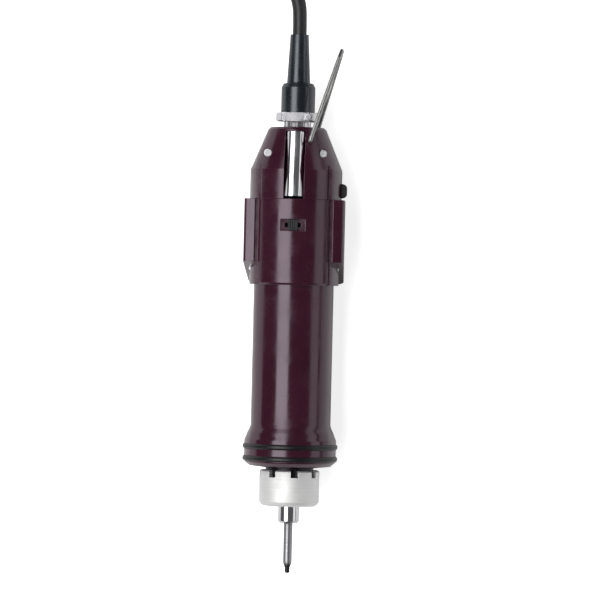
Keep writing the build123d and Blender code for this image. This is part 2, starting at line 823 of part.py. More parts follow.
with BuildPart() as output_bearing:
    disc(7.0, nose_flange, nose_flange + 2.9, 5.6)
    for ball in range(8):
        angle = radians(ball * 45)
        ball_x = 5.0 * cos(angle)
        ball_z = axis_height + 5.0 * sin(angle)
        with Locations((ball_x, nose_flange + 1.45 - origin_station, ball_z)):
            Sphere(0.55)
finish(output_bearing.part, "output_bearing")

# Motor: can with its magnets, armature, brushes and end cap
with BuildPart() as motor_can:
    disc(can_radius, can_bottom, can_top)
    disc(can_radius - can_wall, can_bottom + 2.4, can_top + 1, mode=Mode.SUBTRACT)
    disc(4.55, can_bottom - 1, can_bottom + 3, mode=Mode.SUBTRACT)
    for side in (0, 180):
        rod(1.2, can_bottom - 1, can_bottom + 3, side + 90, 9.5, Mode.SUBTRACT)
finish(motor_can.part, "motor_can")

with BuildPart() as magnets:
    disc(can_radius - can_wall, core_bottom - 1, core_top + 1, core_radius + 0.5)
    with BuildSketch(above(-20, (core_bottom + core_top) / 2)) as gap:
        Rectangle(9, core_top - core_bottom + 8)
    extrude(gap.sketch, amount=40, mode=Mode.SUBTRACT)
finish(magnets.part, "magnets")

with BuildPart() as armature_shaft:
    disc(shaft_radius, stage_one_bottom + gear_width, can_top + 3.9)
    with BuildSketch(across(stage_one_bottom + gear_width + 0.6)) as sun_one:
        Polygon(*pinion_outline(), align=None)
    extrude(sun_one.sketch, amount=gear_width + 0.6)
finish(armature_shaft.part, "armature_shaft")

with BuildPart() as armature_core:
    disc(core_radius, core_bottom, core_top, shaft_radius)
    for slot in range(core_slots):
        angle = slot * 360 / core_slots
        rod(1.7, core_bottom - 1, core_top + 1, angle, core_radius - 3.2, Mode.SUBTRACT)
        with BuildSketch(across(core_top + 1).rotated((0, angle, 0))) as mouth:
            with Locations((core_radius, 0)):
                Rectangle(5, 0.9)
        extrude(mouth.sketch, amount=core_top - core_bottom + 2, mode=Mode.SUBTRACT)
finish(armature_core.part, "armature_core")

with BuildPart() as windings:
    for low, high in ((core_bottom - 3.4, core_bottom), (core_top, core_top + 3.4)):
        turn(
            (4.6, low),
            (core_radius - 2.4, low),
            (core_radius - 1.2, low + 1.2),
            (core_radius - 1.2, high - 0.8),
            (core_radius - 2.4, high),
            (4.6, high),
        )
finish(windings.part, "windings")

with BuildPart() as commutator:
    disc(commutator_radius, core_top + 3.6, core_top + 10.6, shaft_radius)
    for segment in range(core_slots):
        angle = segment * 360 / core_slots
        with BuildSketch(across(core_top + 11).rotated((0, angle, 0))) as split_line:
            with Locations((commutator_radius, 0)):
                Rectangle(1.2, 0.3)
        extrude(split_line.sketch, amount=7.2, mode=Mode.SUBTRACT)
finish(commutator.part, "commutator")

with BuildPart() as motor_cap:
    disc(can_radius, can_top, can_top + 1.4)
    disc(can_radius - can_wall - 0.05, can_top - 3, can_top, can_radius - can_wall - 1.6)
    disc(6.0, can_top + 1.4, can_top + 5.0)
    disc(4.05, can_top - 1, can_top + 4.2, mode=Mode.SUBTRACT)
finish(motor_cap.part, "motor_cap")

brush_station = core_top + 7.2
with BuildPart() as brushes:
    for side in (-1, 1):
        middle = side * (commutator_radius + 0.05 + 2.2)
        block(4.4, 3.0, 3.2, middle, brush_station, -1.6)
finish(brushes.part, "brushes")

with BuildPart() as brush_holders:
    for side in (-1, 1):
        reach = sqrt((can_radius - can_wall - 0.05) ** 2 - 2.6**2) - (commutator_radius + 1.2)
        middle = side * (commutator_radius + 1.2 + reach / 2)
        block(reach, 5.0, 5.2, middle, brush_station, -2.6)
        block(2 * reach, 3.1, 3.3, side * (commutator_radius + 1), brush_station, -1.65, Mode.SUBTRACT)
        block(reach, 3.1, 3.3, middle - side * 0.8, brush_station, -1.65, Mode.SUBTRACT)
    disc(commutator_radius + 1.0, brush_station - 4, brush_station + 4, mode=Mode.SUBTRACT)
finish(brush_holders.part, "brush_holders")

with BuildPart() as brush_springs:
    for side in (-1, 1):
        start = commutator_radius + 4.45
        length = can_radius - can_wall - 1.0 - start
        with BuildSketch(Plane.YZ.offset(side * start)) as turns:
            with Locations((brush_station - origin_station, axis_height)):
                Circle(1.2)
                Circle(0.7, mode=Mode.SUBTRACT)
        extrude(turns.sketch, amount=side * length)
finish(brush_springs.part, "brush_springs")

with BuildPart() as motor_bearings:
    disc(4.5, can_bottom + 0.1, can_bottom + 2.3, shaft_radius + running)
    disc(4.0, can_top + 1.6, can_top + 4.1, shaft_radius + running)
finish(motor_bearings.part, "motor_bearings")

# Cord: a short run from the boot to the hank, and the hank itself
cord_route = [
    (0, 246.0, 0.0),
    (0, 257.0, 0.0),
    (-3.4, 269.2, 1.2),
    (-8.4, 280.8, 1.7),
]


def laid(route):
    return [(x, station - origin_station, axis_height + z) for x, station, z in route]


def cord_radii(points):
    """The largest arc that each corner of a route has room for."""
    radii = []
    for before, corner, after in zip(points, points[1:], points[2:]):
        one = Vector(corner) - Vector(before)
        two = Vector(after) - Vector(corner)
        half = radians(one.get_angle(two)) / 2
        radii.append(0.45 * min(one.length, two.length) / tan(half))
    return radii


def cord_run(route, name, rest_on=None):
    """A round cord along a route, cut off where it meets what it rests on."""
    points = laid(route)
    radii = cord_radii(points)
    with BuildPart() as tube:
        with BuildLine() as path:
            FilletPolyline(*points, radius=radii)
        with BuildSketch(Plane(path.line @ 0, z_dir=path.line % 0)):
            Circle(cord_diameter / 2)
        sweep()
    length = sum(edge.length for edge in path.line.edges())
    expected = pi * cord_diameter**2 / 4 * length
    print(f"{name}: radii {[round(r, 1) for r in radii]}, length {length:.1f}")
    print(f"{name}: volume {tube.part.volume:.1f} of {expected:.1f}")
    with BuildPart() as cut:
        add(tube.part)
        if rest_on:
            add(rest_on, mode=Mode.SUBTRACT)
    finish(cut.part, name)


hank_outer = hank_column + 1.5 * cord_diameter
hank_inner = hank_column - cord_diameter / 2
hank_centre = hank_near + hank_outer + hank_straight / 2
hank_height = hank_layers * cord_diameter
hank_top = tie_thickness + hank_height - axis_height
with BuildPart() as cord_hank:
    with BuildSketch(above(tie_thickness - axis_height, hank_centre, hank_side)):
        SlotCenterToCenter(hank_straight, 2 * hank_outer, rotation=90)
        SlotCenterToCenter(hank_straight, 2 * hank_inner, rotation=90, mode=Mode.SUBTRACT)
    extrude(amount=hank_height)
finish(cord_hank.part, "cord_hank")
cord_run(cord_route, "cord_tube", cord_hank.part)

# The tie wraps the left-hand bundle of the hank
tie_middle = hank_side - (hank_outer + hank_inner) / 2
tie_span = hank_outer - hank_inner
with BuildPart() as cord_tie:
    tie_level = tie_thickness + hank_height / 2 - axis_height
    with BuildSketch(across(hank_centre + tie_width / 2, tie_level, tie_middle)):
        Rectangle(tie_span + 2 * tie_thickness, hank_height + 2 * tie_thickness)
        Rectangle(tie_span, hank_height, mode=Mode.SUBTRACT)
    extrude(amount=tie_width)
finish(cord_tie.part, "cord_tie")

# The tail rises over the far fold to the plug, which lies on the right-hand bundle
plug_level = hank_top + plug_radius
far_centre = hank_centre + hank_straight / 2
fold = hank_column * tan(radians(22.5))
tail_level = hank_top + cord_diameter / 2
tail_rise = plug_level - tail_level
tail_end = far_centre - fold
tail_route = [
    (hank_side - hank_column, tail_end, tail_level),
    (hank_side - hank_column, far_centre + fold, tail_level),
    (hank_side - fold, far_centre + hank_column, tail_level + 0.25 * tail_rise),
    (hank_side + fold, far_centre + hank_column, tail_level + 0.75 * tail_rise),
    (hank_side + hank_column, far_centre + fold, plug_level),
    (hank_side + hank_column, tail_end, plug_level),
]
cord_run(tail_route, "cord_tail")

boot_start = tail_end - plug_boot_length
plug_end = boot_start - plug_length


def plug_plane(station):
    return across(station, plug_level, hank_side + hank_column)


with BuildPart() as plug_boot:
    with BuildSketch(plug_plane(tail_end)):
        Circle(cord_diameter / 2 + 0.8)
    with BuildSketch(plug_plane(boot_start)):
        Circle(plug_radius - 1.2)
    loft()
finish(plug_boot.part, "plug_boot")

with BuildPart() as plug_shell:
    with BuildSketch(plug_plane(boot_start)):
        Circle(plug_radius)
    extrude(amount=plug_length)
    chamfer(plug_shell.edges().group_by(Axis.Y)[-1], 0.8)
    with BuildSketch(plug_plane(plug_end)):
        Circle(plug_radius - 1.4)
    extrude(amount=-8, mode=Mode.SUBTRACT)
    with BuildSketch(plug_plane(plug_end + 19)):
        Circle(plug_radius + 1)
        Circle(plug_radius - 0.6, mode=Mode.SUBTRACT)
    extrude(amount=3, mode=Mode.SUBTRACT)
finish(plug_shell.part, "plug_shell")

with BuildPart() as plug_insert:
    with BuildSketch(plug_plane(plug_end + 8)):
        Circle(plug_radius - 1.4)
    extrude(amount=5)
    with BuildSketch(plug_plane(plug_end + 3)):
        with PolarLocations(3.6, 5, start_angle=90):
            Circle(0.7)
    extrude(amount=2.6)
finish(plug_insert.part, "plug_insert")
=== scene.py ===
import math

import bpy
from mathutils import Matrix, Vector


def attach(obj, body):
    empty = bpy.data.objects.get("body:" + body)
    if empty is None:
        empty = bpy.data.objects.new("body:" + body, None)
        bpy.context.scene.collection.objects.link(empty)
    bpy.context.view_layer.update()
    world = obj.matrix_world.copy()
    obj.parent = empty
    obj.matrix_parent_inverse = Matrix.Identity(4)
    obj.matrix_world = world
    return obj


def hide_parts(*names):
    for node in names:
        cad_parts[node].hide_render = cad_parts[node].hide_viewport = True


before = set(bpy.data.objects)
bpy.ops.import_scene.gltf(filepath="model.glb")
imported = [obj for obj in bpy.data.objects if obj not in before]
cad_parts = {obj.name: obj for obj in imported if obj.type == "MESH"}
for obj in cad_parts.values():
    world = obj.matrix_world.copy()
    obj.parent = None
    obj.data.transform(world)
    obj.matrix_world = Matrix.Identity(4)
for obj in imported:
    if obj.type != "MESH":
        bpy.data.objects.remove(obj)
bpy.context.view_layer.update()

# The tool lies on its back, with its axis along Y, the bit towards -Y and the start lever up.
# Everything is in metres. A station is a distance along the axis from the tip of the bit.
AXIS_HEIGHT = 0.0217
MIDDLE_STATION = 0.123
BOOT_END = 0.246
CORD_DIAMETER = 0.0064


def at_station(x, station, height):
    """A point in the row frame, from its place beside, along and above the tool's axis."""
    return Vector((x, station - MIDDLE_STATION, AXIS_HEIGHT + height))


# Camera: square to the bench over the tool, a little to its right and slightly rolled
VIEW_WIDTH = 0.2741
VIEW_CENTRE = Vector((0.0030, 0.0019, AXIS_HEIGHT))
CAMERA_ROLL = math.radians(1.35)
CAMERA_LEAN = math.radians(3.0)
LENS = 260.0


def place_camera():
    data = bpy.data.cameras.new("bench camera")
    camera = bpy.data.objects.new("bench camera", data)
    bpy.context.scene.collection.objects.link(camera)
    data.lens = LENS
    distance = VIEW_WIDTH * LENS / data.sensor_width
    back = Vector((math.sin(CAMERA_LEAN), 0.0, math.cos(CAMERA_LEAN)))
    up = Vector((-math.sin(CAMERA_ROLL), math.cos(CAMERA_ROLL), 0.0))
    right = up.cross(back).normalized()
    up = back.cross(right)
    camera.location = VIEW_CENTRE + back * distance
    camera.rotation_euler = Matrix((right, up, back)).transposed().to_euler()
    data.clip_start = 0.01
    data.clip_end = 20.0
    bpy.context.scene.camera = camera


place_camera()

# Cord: straight out of its boot and wound into a hank, down through four outer turns and up through
# three inner ones. A last part of a turn lies on top and is led to the plug.
HANK_SIDE = 0.012
HANK_NEAR = 0.2989  # station of the centre of the near fold
HANK_FAR = 0.3509
INNER_FOLD = 0.0213
OUTER_FOLD = 0.0277
LAYER_ONE = 0.0042 - AXIS_HEIGHT
HANK_TOP = 0.0266 - AXIS_HEIGHT
PLUG_LEVEL = HANK_TOP + 0.0076
TAIL_END = 0.34208
FOLD_STEPS = 6
CHANGE_SHARE = 0.30  # share of a straight run in which the cord changes level or column
CROSSING_SHIFT = 0.004


def layer(number):
    """Height of the cord's middle in a layer of the hank, counted from the bench."""
    return LAYER_ONE + (number - 1) * CORD_DIAMETER


def lead(radius):
    """How far the route runs past a fold's centre before its first corner."""
    return radius * math.tan(math.pi / FOLD_STEPS / 2)


def fold(centre, radius, start, rise_from, rise_to):
    """Corners of half a turn round a fold's centre, from a start angle, that climb or sink evenly."""
    corner = radius / math.cos(math.pi / FOLD_STEPS / 2)
    points = []
    for step in range(FOLD_STEPS):
        share = (step + 0.5) / FOLD_STEPS
        angle = start - math.pi * share
        height = rise_from + (rise_to - rise_from) * share
        x = HANK_SIDE + corner * math.cos(angle)
        points.append(at_station(x, centre + corner * math.sin(angle), height))
    return points


def straight(x_from, x_to, start, end, rise_from, rise_to, shift=0.0):
    """Four points of a straight run. It changes level or column between the middle two.

    Shift moves that change along the tool, so that neighbouring turns don't cross in one place.
    """
    change = (end - start) * CHANGE_SHARE
    first = start + math.copysign(lead(OUTER_FOLD), end - start)
    last = end - math.copysign(lead(OUTER_FOLD), end - start)
    middle = (start + end) / 2 + shift
    return [
        at_station(x_from, first, rise_from),
        at_station(x_from, middle - change / 2, rise_from),
        at_station(x_to, middle + change / 2, rise_to),
        at_station(x_to, last, rise_to),
    ]


def hank_route():
    left_outer = HANK_SIDE - OUTER_FOLD
    right_outer = HANK_SIDE + OUTER_FOLD
    left_inner = HANK_SIDE - INNER_FOLD
    right_inner = HANK_SIDE + INNER_FOLD
    route = [
        at_station(0.0, BOOT_END, 0.0),
        at_station(0.0, 0.2540, 0.0),
        at_station(-0.0004, 0.2600, 0.0006),
        at_station(-0.0030, 0.2680, layer(4)),
        at_station(-0.0083, 0.2786, layer(4)),
        at_station(left_outer, 0.2915, layer(4)),
    ]
    # Outer column, from the top layer down
    for number in (4, 3, 2, 1):
        level = layer(number)
        below = layer(max(number - 1, 1))
        across = right_inner if number == 1 else right_outer
        route += straight(left_outer, left_outer, HANK_NEAR, HANK_FAR, level, level)
        route += fold(HANK_FAR, OUTER_FOLD, math.pi, level, level)
        shift = CROSSING_SHIFT if number == 1 else -CROSSING_SHIFT
        route += straight(right_outer, across, HANK_FAR, HANK_NEAR, level, below, shift)
        radius = INNER_FOLD if number == 1 else OUTER_FOLD
        route += fold(HANK_NEAR, radius, 0.0, below, below)
    # Inner column, from the bottom layer up
    for number in (1, 2, 3):
        level = layer(number)
        above = layer(number + 1)
        route += straight(left_inner, left_inner, HANK_NEAR, HANK_FAR, level, level)
        route += fold(HANK_FAR, INNER_FOLD, math.pi, level, above)
        route += straight(right_inner, right_inner, HANK_FAR, HANK_NEAR, above, above)
        route += fold(HANK_NEAR, INNER_FOLD, 0.0, above, above)
    # The tail climbs over the far fold to the plug
    tail = HANK_TOP + CORD_DIAMETER / 2
    route += [
        at_station(left_inner, HANK_NEAR + lead(INNER_FOLD), layer(4)),
        at_station(left_inner, HANK_FAR - 0.026, layer(4) + 0.0002),
        at_station(left_inner, HANK_FAR - lead(INNER_FOLD), tail - 0.001),
    ]
    route += fold(HANK_FAR, INNER_FOLD, math.pi, tail, PLUG_LEVEL)
    route += [
        at_station(right_inner, HANK_FAR - 0.0030, PLUG_LEVEL),
        at_station(right_inner, TAIL_END, PLUG_LEVEL),
    ]
    return route


def make_cord():
    data = bpy.data.curves.new("power_cord", "CURVE")
    data.dimensions = "3D"
    data.bevel_depth = 1.0  # a point's own radius gives the cord its thickness
    data.bevel_resolution = 5
    route = hank_route()
    spline = data.splines.new("NURBS")
    spline.points.add(len(route) - 1)
    for point, place in zip(spline.points, route):
        point.co = (*place, 1.0)
        point.radius = CORD_DIAMETER / 2
    spline.order_u = 3
    spline.use_endpoint_u = True
    spline.resolution_u = 8
    cord = bpy.data.objects.new("power_cord", data)
    bpy.context.scene.collection.objects.link(cord)
    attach(cord, "housing")
    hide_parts("cord_tube", "cord_hank", "cord_tail")
    return cord


power_cord = make_cord()


# Shader node groups that several materials share
def new_group(name, inputs, outputs):
    """An empty node group.

    Inputs are (name, socket type, value) and outputs are (name, socket type).
    """
    group = bpy.data.node_groups.new(name, "ShaderNodeTree")
    for label, kind, value in inputs:
        socket = group.interface.new_socket(label, in_out="INPUT", socket_type=kind)
        socket.default_value = value
    for label, kind in outputs:
        group.interface.new_socket(label, in_out="OUTPUT", socket_type=kind)
    entry = group.nodes.new("NodeGroupInput")
    leave = group.nodes.new("NodeGroupOutput")
    return group, entry.outputs, leave.inputs


def put(tree, kind, **values):
    """A node with its settings and the values of its sockets, by name or number."""
    node = tree.nodes.new(kind)
    for label, value in values.items():
        if hasattr(node, label):
            setattr(node, label, value)
        else:
            node.inputs[label.replace("_", " ")].default_value = value
    return node


def calculate(tree, operation, first, second=0.0):
    """A Math node between two sockets or numbers."""
    node = tree.nodes.new("ShaderNodeMath")
    node.operation = operation
    for place, value in enumerate((first, second)):
        if isinstance(value, (int, float)):
            node.inputs[place].default_value = value
        else:
            tree.links.new(value, node.inputs[place])
    return node.outputs[0]


def stretch(tree, value, low, high, to_low=0.0, to_high=1.0):
    """A value mapped from one range to another, held at the ends."""
    node = tree.nodes.new("ShaderNodeMapRange")
    node.inputs["From Min"].default_value = low
    node.inputs["From Max"].default_value = high
    node.inputs["To Min"].default_value = to_low
    node.inputs["To Max"].default_value = to_high
    tree.links.new(value, node.inputs["Value"])
    return node.outputs["Result"]


def noise(tree, place, scale, detail=2.0, roughness=0.5):
    """Three-dimensional noise over a place."""
    node = put(tree, "ShaderNodeTexNoise", Detail=detail, Roughness=roughness)
    if isinstance(scale, (int, float)):
        node.inputs["Scale"].default_value = scale
    else:
        tree.links.new(scale, node.inputs["Scale"])
    tree.links.new(place, node.inputs["Vector"])
    return node.outputs["Fac"]


def object_place(tree):
    return tree.nodes.new("ShaderNodeTexCoord").outputs["Object"]


def object_axes(tree):
    """X, Y and Z of a point on the object."""
    parts = tree.nodes.new("ShaderNodeSeparateXYZ")
    tree.links.new(object_place(tree), parts.inputs[0])
    return parts.outputs


def make_soft_edge():
    """Rounds sharp edges in the shading, and tells where they are."""
    group, given, out = new_group(
        "soft edge",
        [("Radius", "NodeSocketFloat", 0.0003), ("Unevenness", "NodeSocketFloat", 0.5)],
        [("Normal", "NodeSocketVector"), ("Wear", "NodeSocketFloat")],
    )
    bevel = group.nodes.new("ShaderNodeBevel")
    bevel.samples = 6
    group.links.new(given["Radius"], bevel.inputs["Radius"])
    surface = group.nodes.new("ShaderNodeNewGeometry")
    compare = group.nodes.new("ShaderNodeVectorMath")
    compare.operation = "DOT_PRODUCT"
    group.links.new(bevel.outputs["Normal"], compare.inputs[0])
    group.links.new(surface.outputs["Normal"], compare.inputs[1])
    edge = stretch(group, compare.outputs["Value"], 0.995, 0.90)
    patches = noise(group, object_place(group), 420.0, 4.0, 0.65)
    broken = stretch(group, patches, 0.42, 0.62)
    whole = calculate(group, "SUBTRACT", 1.0, broken)
    kept = calculate(group, "MULTIPLY", whole, given["Unevenness"])
    worn = calculate(group, "MULTIPLY", edge, calculate(group, "SUBTRACT", 1.0, kept))
    group.links.new(bevel.outputs["Normal"], out["Normal"])
    group.links.new(worn, out["Wear"])
    return group


def make_mould_grain():
    """The fine spark-eroded grain of a plastic mould, with faint waves of shrinkage."""
    group, given, out = new_group(
        "mould grain",
        [("Grain", "NodeSocketFloat", 3500.0), ("Waves", "NodeSocketFloat", 70.0)],
        [("Height", "NodeSocketFloat"), ("Flow", "NodeSocketFloat")],
    )
    place = object_place(group)
    pits = noise(group, place, given["Grain"], 3.0, 0.6)
    waves = noise(group, place, given["Waves"], 1.0, 0.4)
    lifted = calculate(group, "MULTIPLY", waves, 0.8)
    group.links.new(calculate(group, "ADD", pits, lifted), out["Height"])
    group.links.new(waves, out["Flow"])
    return group


def make_handling():
    """Finger smudges and fine hair scratches from use."""
    group, given, out = new_group(
        "handling",
        [("Smudge size", "NodeSocketFloat", 60.0), ("Scratch size", "NodeSocketFloat", 260.0)],
        [("Smudges", "NodeSocketFloat"), ("Scratches", "NodeSocketFloat")],
    )
    place = object_place(group)
    smudges = stretch(group, noise(group, place, given["Smudge size"], 5.0, 0.62), 0.40, 0.68)
    stretched = put(group, "ShaderNodeMapping", Scale=(6.0, 0.6, 6.0), Rotation=(0.2, 0.1, 0.35))
    group.links.new(place, stretched.inputs["Vector"])
    lines = noise(group, stretched.outputs["Vector"], given["Scratch size"], 2.0, 0.5)
    ridge = calculate(group, "ABSOLUTE", calculate(group, "SUBTRACT", lines, 0.5))
    thin = stretch(group, ridge, 0.006, 0.0)
    sparse = stretch(group, noise(group, place, 95.0), 0.56, 0.66)
    group.links.new(smudges, out["Smudges"])
    group.links.new(calculate(group, "MULTIPLY", thin, sparse), out["Scratches"])
    return group


BAND_SHARE = 0.09  # broad bands for each fine turning line


def make_turning():
    """Fine lines that a lathe leaves round the tool's axis, on flanks and end faces alike."""
    group, given, out = new_group(
        "turning lines",
        [("Lines per metre", "NodeSocketFloat", 9000.0)],
        [("Height", "NodeSocketFloat"), ("Bands", "NodeSocketFloat")],
    )
    axes = object_axes(group)
    up = calculate(group, "SUBTRACT", axes["Z"], AXIS_HEIGHT)
    aside = calculate(group, "MULTIPLY", axes["X"], axes["X"])
    over = calculate(group, "MULTIPLY", up, up)
    radius = calculate(group, "SQRT", calculate(group, "ADD", aside, over))
    run = calculate(group, "ADD", axes["Y"], radius)
    heights = []
    for share in (1.0, BAND_SHARE):
        line = put(group, "ShaderNodeTexNoise", noise_dimensions="1D", Scale=1.0, Detail=2.0)
        along = calculate(group, "MULTIPLY", run, given["Lines per metre"])
        group.links.new(calculate(group, "MULTIPLY", along, share), line.inputs["W"])
        heights.append(line.outputs["Fac"])
    group.links.new(heights[0], out["Height"])
    group.links.new(heights[1], out["Bands"])
    return group


def make_dust():
    """Fine grey dust in soft clouds and small specks."""
    group, given, out = new_group(
        "settled dust",
        [("Amount", "NodeSocketFloat", 0.3)],
        [("Mask", "NodeSocketFloat")],
    )
    place = object_place(group)
    clouds = stretch(group, noise(group, place, 120.0, 6.0, 0.7), 0.48, 0.78)
    specks = stretch(group, noise(group, place, 2600.0, 2.0, 0.5), 0.66, 0.74)
    both = calculate(group, "ADD", calculate(group, "MULTIPLY", clouds, 0.5), specks)
    amount = calculate(group, "MULTIPLY", both, given["Amount"])
    group.links.new(calculate(group, "MINIMUM", amount, 1.0), out["Mask"])
    return group


SOFT_EDGE = make_soft_edge()
MOULD_GRAIN = make_mould_grain()
HANDLING = make_handling()
TURNING = make_turning()
DUST = make_dust()


def use(tree, group, **values):
    """Places a shared group in a material, with its own values."""
    node = tree.nodes.new("ShaderNodeGroup")
    node.node_tree = group
    for label, value in values.items():
        node.inputs[label.replace("_", " ")].default_value = value
    return node.outputs


def blend_colours(tree, mask, first, second):
    """The first colour where the mask is 0 and the second where it is 1."""
    # Inputs 6 and 7 and output 2 are the Mix node's colours
    node = put(tree, "ShaderNodeMix", data_type="RGBA")
    tree.links.new(mask, node.inputs["Factor"])
    for place, value in ((6, first), (7, second)):
        if isinstance(value, tuple):
            node.inputs[place].default_value = (*value, 1.0)
        else:
            tree.links.new(value, node.inputs[place])
    return node.outputs[2]


def start_material(name, **values):
    """A material, its tree and its shader's sockets, with plain values on those that are given."""
    material = bpy.data.materials.new(name)
    material.use_nodes = True
    tree = material.node_tree
    shader = tree.nodes["Principled BSDF"]
    for label, value in values.items():
        shader.inputs[label.replace("_", " ")].default_value = value
    return material, tree, shader.inputs


def relief(tree, height, depth, normal=None):
    """A Bump node at full strength. Depth is in metres."""
    node = put(tree, "ShaderNodeBump", Strength=1.0, Distance=depth)
    tree.links.new(height, node.inputs["Height"])
    if normal is not None:
        tree.links.new(normal, node.inputs["Normal"])
    return node.outputs["Normal"]


DUST_GREY = (0.30, 0.29, 0.28)
TRUE_SLOPE = 1.0  # bump distance at which a height in metres keeps its own slope
EAR_FALL_START = 0.0177
EAR_SLOPE = 0.17
BLACK_TIP_STATION = 0.005
BLACK_TIP_FADE = 0.0015
BLACKENED = (0.03, 0.03, 0.03)
LEVER_CROWN = 0.0120


def plastic(
    name,
    colour,
    worn,
    roughness,
    grain=3500.0,
    depth=0.000006,
    edge=0.0003,
    dust=0.25,
    gloss=0.5,
    tint=(1.0, 1.0, 1.0),
    fall=None,
):
    """Moulded plastic or rubber: grain, smudges, scratches, paler edges and a little dust.

    Fall is the distance beside the tool's axis from which front faces slope away, as moulded ears do.
    """
    material, tree, surface = start_material(name, Specular_IOR_Level=gloss, Specular_Tint=(*tint, 1.0))
    edges = use(tree, SOFT_EDGE, Radius=edge, Unevenness=0.8)
    grains = use(tree, MOULD_GRAIN, Grain=grain)
    marks = use(tree, HANDLING)
    settled = use(tree, DUST, Amount=dust)
    deep = tuple(0.82 * part for part in colour)
    flow = blend_colours(tree, stretch(tree, grains["Flow"], 0.35, 0.65), deep, colour)
    rubbed = blend_colours(tree, calculate(tree, "MULTIPLY", edges["Wear"], 0.6), flow, worn)
    scratches = calculate(tree, "MULTIPLY", marks["Scratches"], 0.45)
    scratched = blend_colours(tree, scratches, rubbed, worn)
    film = calculate(tree, "MULTIPLY", settled["Mask"], 0.18)
    dusted = blend_colours(tree, film, scratched, DUST_GREY)
    tree.links.new(dusted, surface["Base Color"])
    dulled = stretch(tree, marks["Smudges"], 0.0, 1.0, roughness - 0.05, roughness + 0.09)
    rough = calculate(tree, "ADD", dulled, calculate(tree, "MULTIPLY", settled["Mask"], 0.25))
    tree.links.new(rough, surface["Roughness"])
    normal = edges["Normal"]
    if fall is not None:
        aside = calculate(tree, "ABSOLUTE", object_axes(tree)["X"])
        beyond = calculate(tree, "MAXIMUM", calculate(tree, "SUBTRACT", aside, fall), 0.0)
        lowered = calculate(tree, "MULTIPLY", beyond, -EAR_SLOPE)
        normal = relief(tree, lowered, TRUE_SLOPE, normal)
    tree.links.new(relief(tree, grains["Height"], depth, normal), surface["Normal"])
    return material


def turned_metal(
    name,
    colour,
    roughness,
    lines=9000.0,
    depth=0.0000015,
    edge=0.00025,
    tarnish=0.35,
    black_tip=None,
):
    """Metal turned or ground on a lathe, with brighter edges and patches of handling.

    Black tip is the station below which the colour fades to near black towards the tip.
    """
    material, tree, surface = start_material(name, Metallic=1.0)
    edges = use(tree, SOFT_EDGE, Radius=edge, Unevenness=0.6)
    cut = use(tree, TURNING, Lines_per_metre=lines)
    marks = use(tree, HANDLING, Smudge_size=110.0)
    dull = tuple((1.0 - tarnish) * part for part in colour)
    bands = blend_colours(tree, stretch(tree, cut["Bands"], 0.3, 0.7, 0.0, 0.5), colour, dull)
    smudged = blend_colours(tree, calculate(tree, "MULTIPLY", marks["Smudges"], 0.35), bands, dull)
    bright = tuple(min(1.0, 1.15 * part + 0.04) for part in colour)
    rubbed = blend_colours(tree, edges["Wear"], smudged, bright)
    if black_tip is not None:
        end = black_tip - MIDDLE_STATION
        tip = stretch(tree, object_axes(tree)["Y"], end, end - BLACK_TIP_FADE)
        rubbed = blend_colours(tree, tip, rubbed, BLACKENED)
    tree.links.new(rubbed, surface["Base Color"])
    handled = stretch(tree, marks["Smudges"], 0.0, 1.0, roughness - 0.04, roughness + 0.08)
    rough = calculate(tree, "ADD", handled, stretch(tree, cut["Bands"], 0.3, 0.7, -0.03, 0.05))
    tree.links.new(rough, surface["Roughness"])
    tree.links.new(relief(tree, cut["Height"], depth, edges["Normal"]), surface["Normal"])
    return material


def plated_metal(name, colour, roughness, edge=0.0003, orange_peel=0.000002, crown=None):
    """Polished plate: slight unevenness, smudges and scratches.

    Crown is the radius of a slight arch across the piece, which only its shading shows.
    """
    material, tree, surface = start_material(name, Metallic=1.0)
    edges = use(tree, SOFT_EDGE, Radius=edge, Unevenness=0.3)
    marks = use(tree, HANDLING, Smudge_size=90.0, Scratch_size=420.0)
    uneven = noise(tree, object_place(tree), 380.0, 3.0, 0.55)
    dull = tuple(0.72 * part for part in colour)
    smudged = blend_colours(tree, calculate(tree, "MULTIPLY", marks["Smudges"], 0.30), colour, dull)
    scratches = calculate(tree, "MULTIPLY", marks["Scratches"], 0.6)
    scratched = blend_colours(tree, scratches, smudged, dull)
    tree.links.new(scratched, surface["Base Color"])
    handled = stretch(tree, marks["Smudges"], 0.0, 1.0, roughness, roughness + 0.12)
    rough = calculate(tree, "ADD", handled, calculate(tree, "MULTIPLY", marks["Scratches"], 0.2))
    tree.links.new(rough, surface["Roughness"])
    normal = relief(tree, uneven, orange_peel, edges["Normal"])
    if crown is not None:
        aside = object_axes(tree)["X"]
        squared = calculate(tree, "MULTIPLY", aside, aside)
        arch = calculate(tree, "MULTIPLY", squared, -0.5 / crown)
        normal = relief(tree, arch, TRUE_SLOPE, normal)
    tree.links.new(normal, surface["Normal"])
    return material


